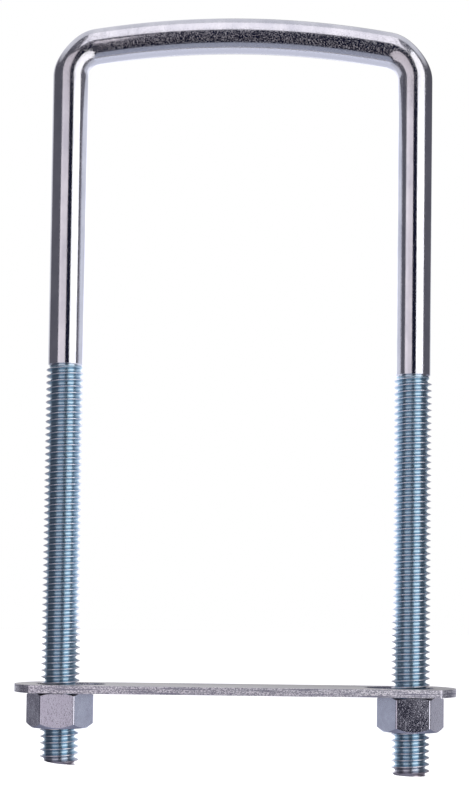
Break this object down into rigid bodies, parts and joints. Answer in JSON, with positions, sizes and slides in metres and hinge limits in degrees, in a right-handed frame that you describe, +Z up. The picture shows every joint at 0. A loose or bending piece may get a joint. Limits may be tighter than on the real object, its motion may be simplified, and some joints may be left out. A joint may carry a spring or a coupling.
{
  "type": "u-bolt",
  "caption": "Long square-cornered u-bolt of bright zinc-plated round bar with an arched crown, threaded legs, a slotted backing plate and hex nuts.",
  "frame": {"origin": "midway between the two leg tips, in the plane that both tips stand on", "axes": "+Z up the legs towards the crown, +X from the left leg to the right leg, +Y through the plane of the U away from the front"},
  "size_m": [0.1068, 0.019, 0.185],
  "materials": {
    "zinc_bar": "bright zinc electroplate over drawn steel bar, mirror-like on the plain bar and blue-tinted on the rolled threads",
    "zinc_plate": "zinc electroplate over stamped steel strip, satin faces and grainy sheared edges",
    "zinc_nut": "zinc electroplate over cold-formed steel, satin with a faint mottle"
  },
  "bodies": {
    "u_bolt": {"u_bolt": "zinc_bar"},
    "backing_plate": {"backing_plate": "zinc_plate"},
    "nut_left": {"nut_left": "zinc_nut"},
    "nut_right": {"nut_right": "zinc_nut"}
  },
  "joints": [
    {"name": "plate_slide", "type": "slide", "parent": "u_bolt", "child": "backing_plate", "axis": [0, 0, 1], "range_m": [-0.022, 0.076]},
    {"name": "nut_left_spin", "type": "hinge", "parent": "backing_plate", "child": "nut_left", "pos_m": [-0.0424, 0, 0.01475], "axis": [0, 0, 1], "range_deg": [-4989, 17234]},
    {"name": "nut_right_spin", "type": "hinge", "parent": "backing_plate", "child": "nut_right", "pos_m": [0.0424, 0, 0.01475], "axis": [0, 0, 1], "range_deg": [-4989, 17234]}
  ],
  "couplings": [
    {"joint": "plate_slide", "follows": "nut_left_spin", "m_per_rad": 0.00025266},
    {"joint": "nut_right_spin", "follows": "nut_left_spin", "ratio": 1}
  ]
}
